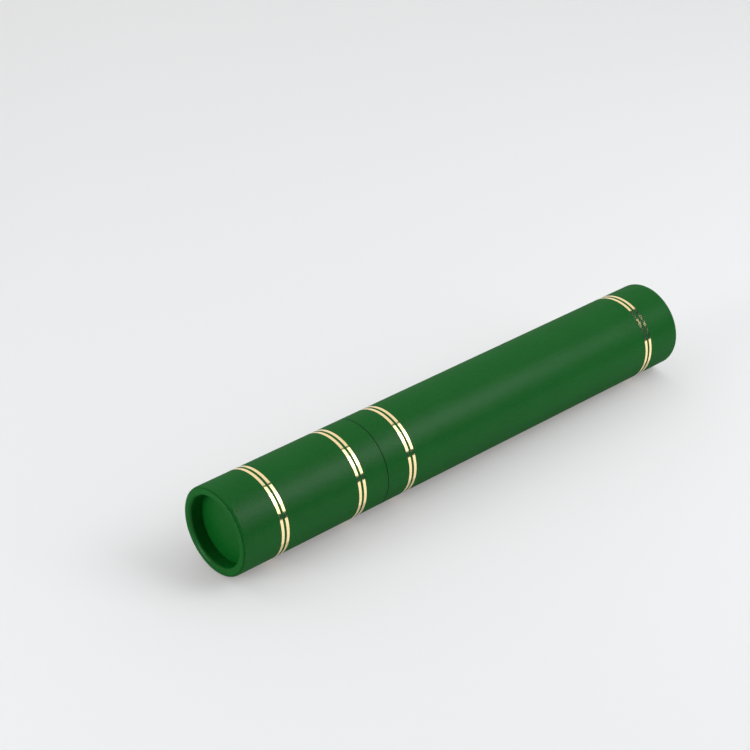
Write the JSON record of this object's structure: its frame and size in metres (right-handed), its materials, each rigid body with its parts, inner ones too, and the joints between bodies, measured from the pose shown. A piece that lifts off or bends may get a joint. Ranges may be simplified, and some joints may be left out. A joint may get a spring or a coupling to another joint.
{
  "type": "diploma tube",
  "caption": "Round leatherette-covered card tube with a lift-off cap over a white inner neck, rolled rims round recessed ends, and pairs of gold foil lines.",
  "frame": {"origin": "centre of the flat crest of the body's rolled rim, on which the tube stands", "axes": "+Z along the tube's axis, from the body's closed end up to the cap; X and Y are equal, as the tube is round"},
  "size_m": [0.05, 0.05, 0.3275],
  "materials": {
    "tube_board": "matte",
    "green_leatherette": "satin",
    "gold_foil": "polished",
    "white_liner": "matte"
  },
  "bodies": {
    "body": {"body_tube": "tube_board", "body_cover": "green_leatherette", "body_foil_lines": "gold_foil", "body_end_disc": "green_leatherette", "inner_tube": "white_liner"},
    "cap": {"cap_tube": "tube_board", "cap_cover": "green_leatherette", "cap_foil_lines": "gold_foil", "cap_end_disc": "green_leatherette"}
  },
  "joints": [
    {"name": "cap_pull", "type": "slide", "parent": "body", "child": "cap", "axis": [0, 0, 1], "range_m": [0, 0.08]}
  ]
}
